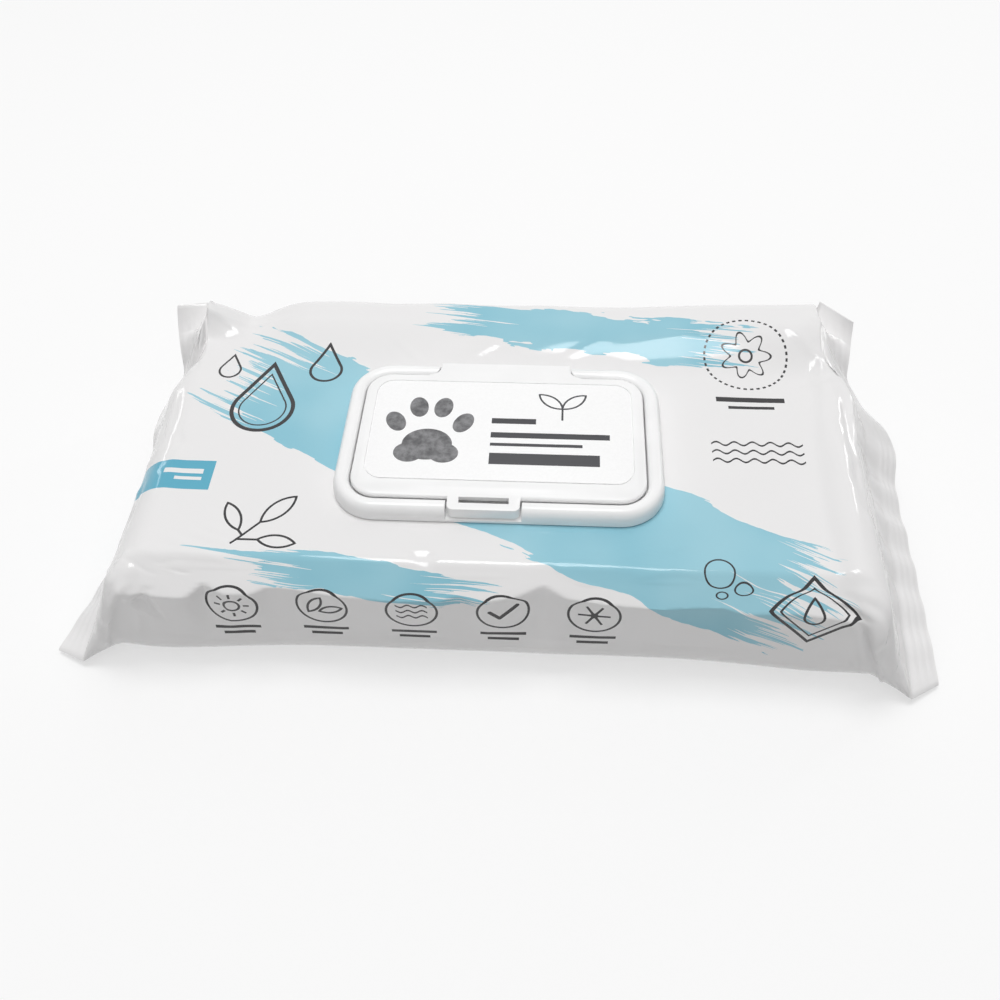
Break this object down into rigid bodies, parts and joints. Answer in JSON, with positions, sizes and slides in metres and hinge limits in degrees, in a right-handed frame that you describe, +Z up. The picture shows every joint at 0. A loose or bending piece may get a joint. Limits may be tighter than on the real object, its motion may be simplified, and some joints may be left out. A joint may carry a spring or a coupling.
{
  "type": "wet wipes pack",
  "caption": "Soft film pack of wet wipes with crimped end seals and a glued-on moulded frame whose flip-top lid opens over a dispensing opening.",
  "frame": {"origin": "middle of the back seal on the underside, on the surface that the pack lies on", "axes": "+X along the pack's length, +Z up through the lid, -Y towards the lid's thumb tab"},
  "size_m": [0.2568, 0.1265, 0.044],
  "materials": {
    "film": "glossy laminated film, pale with a light blue printed field",
    "wipes": "moist nonwoven",
    "frame_plastic": "moulded, satin gloss",
    "lid_plastic": "moulded, satin gloss",
    "label": "in-mould label, gloss"
  },
  "bodies": {
    "pack": {"film_pouch": "film", "wipes_stack": "wipes", "lid_frame": "frame_plastic"},
    "lid": {"lid": "lid_plastic", "lid_label": "label"}
  },
  "joints": [
    {"name": "lid_hinge", "type": "hinge", "parent": "pack", "child": "lid", "pos_m": [0, 0.024, 0.04055], "axis": [-1, 0, 0], "range_deg": [0, 150]}
  ]
}
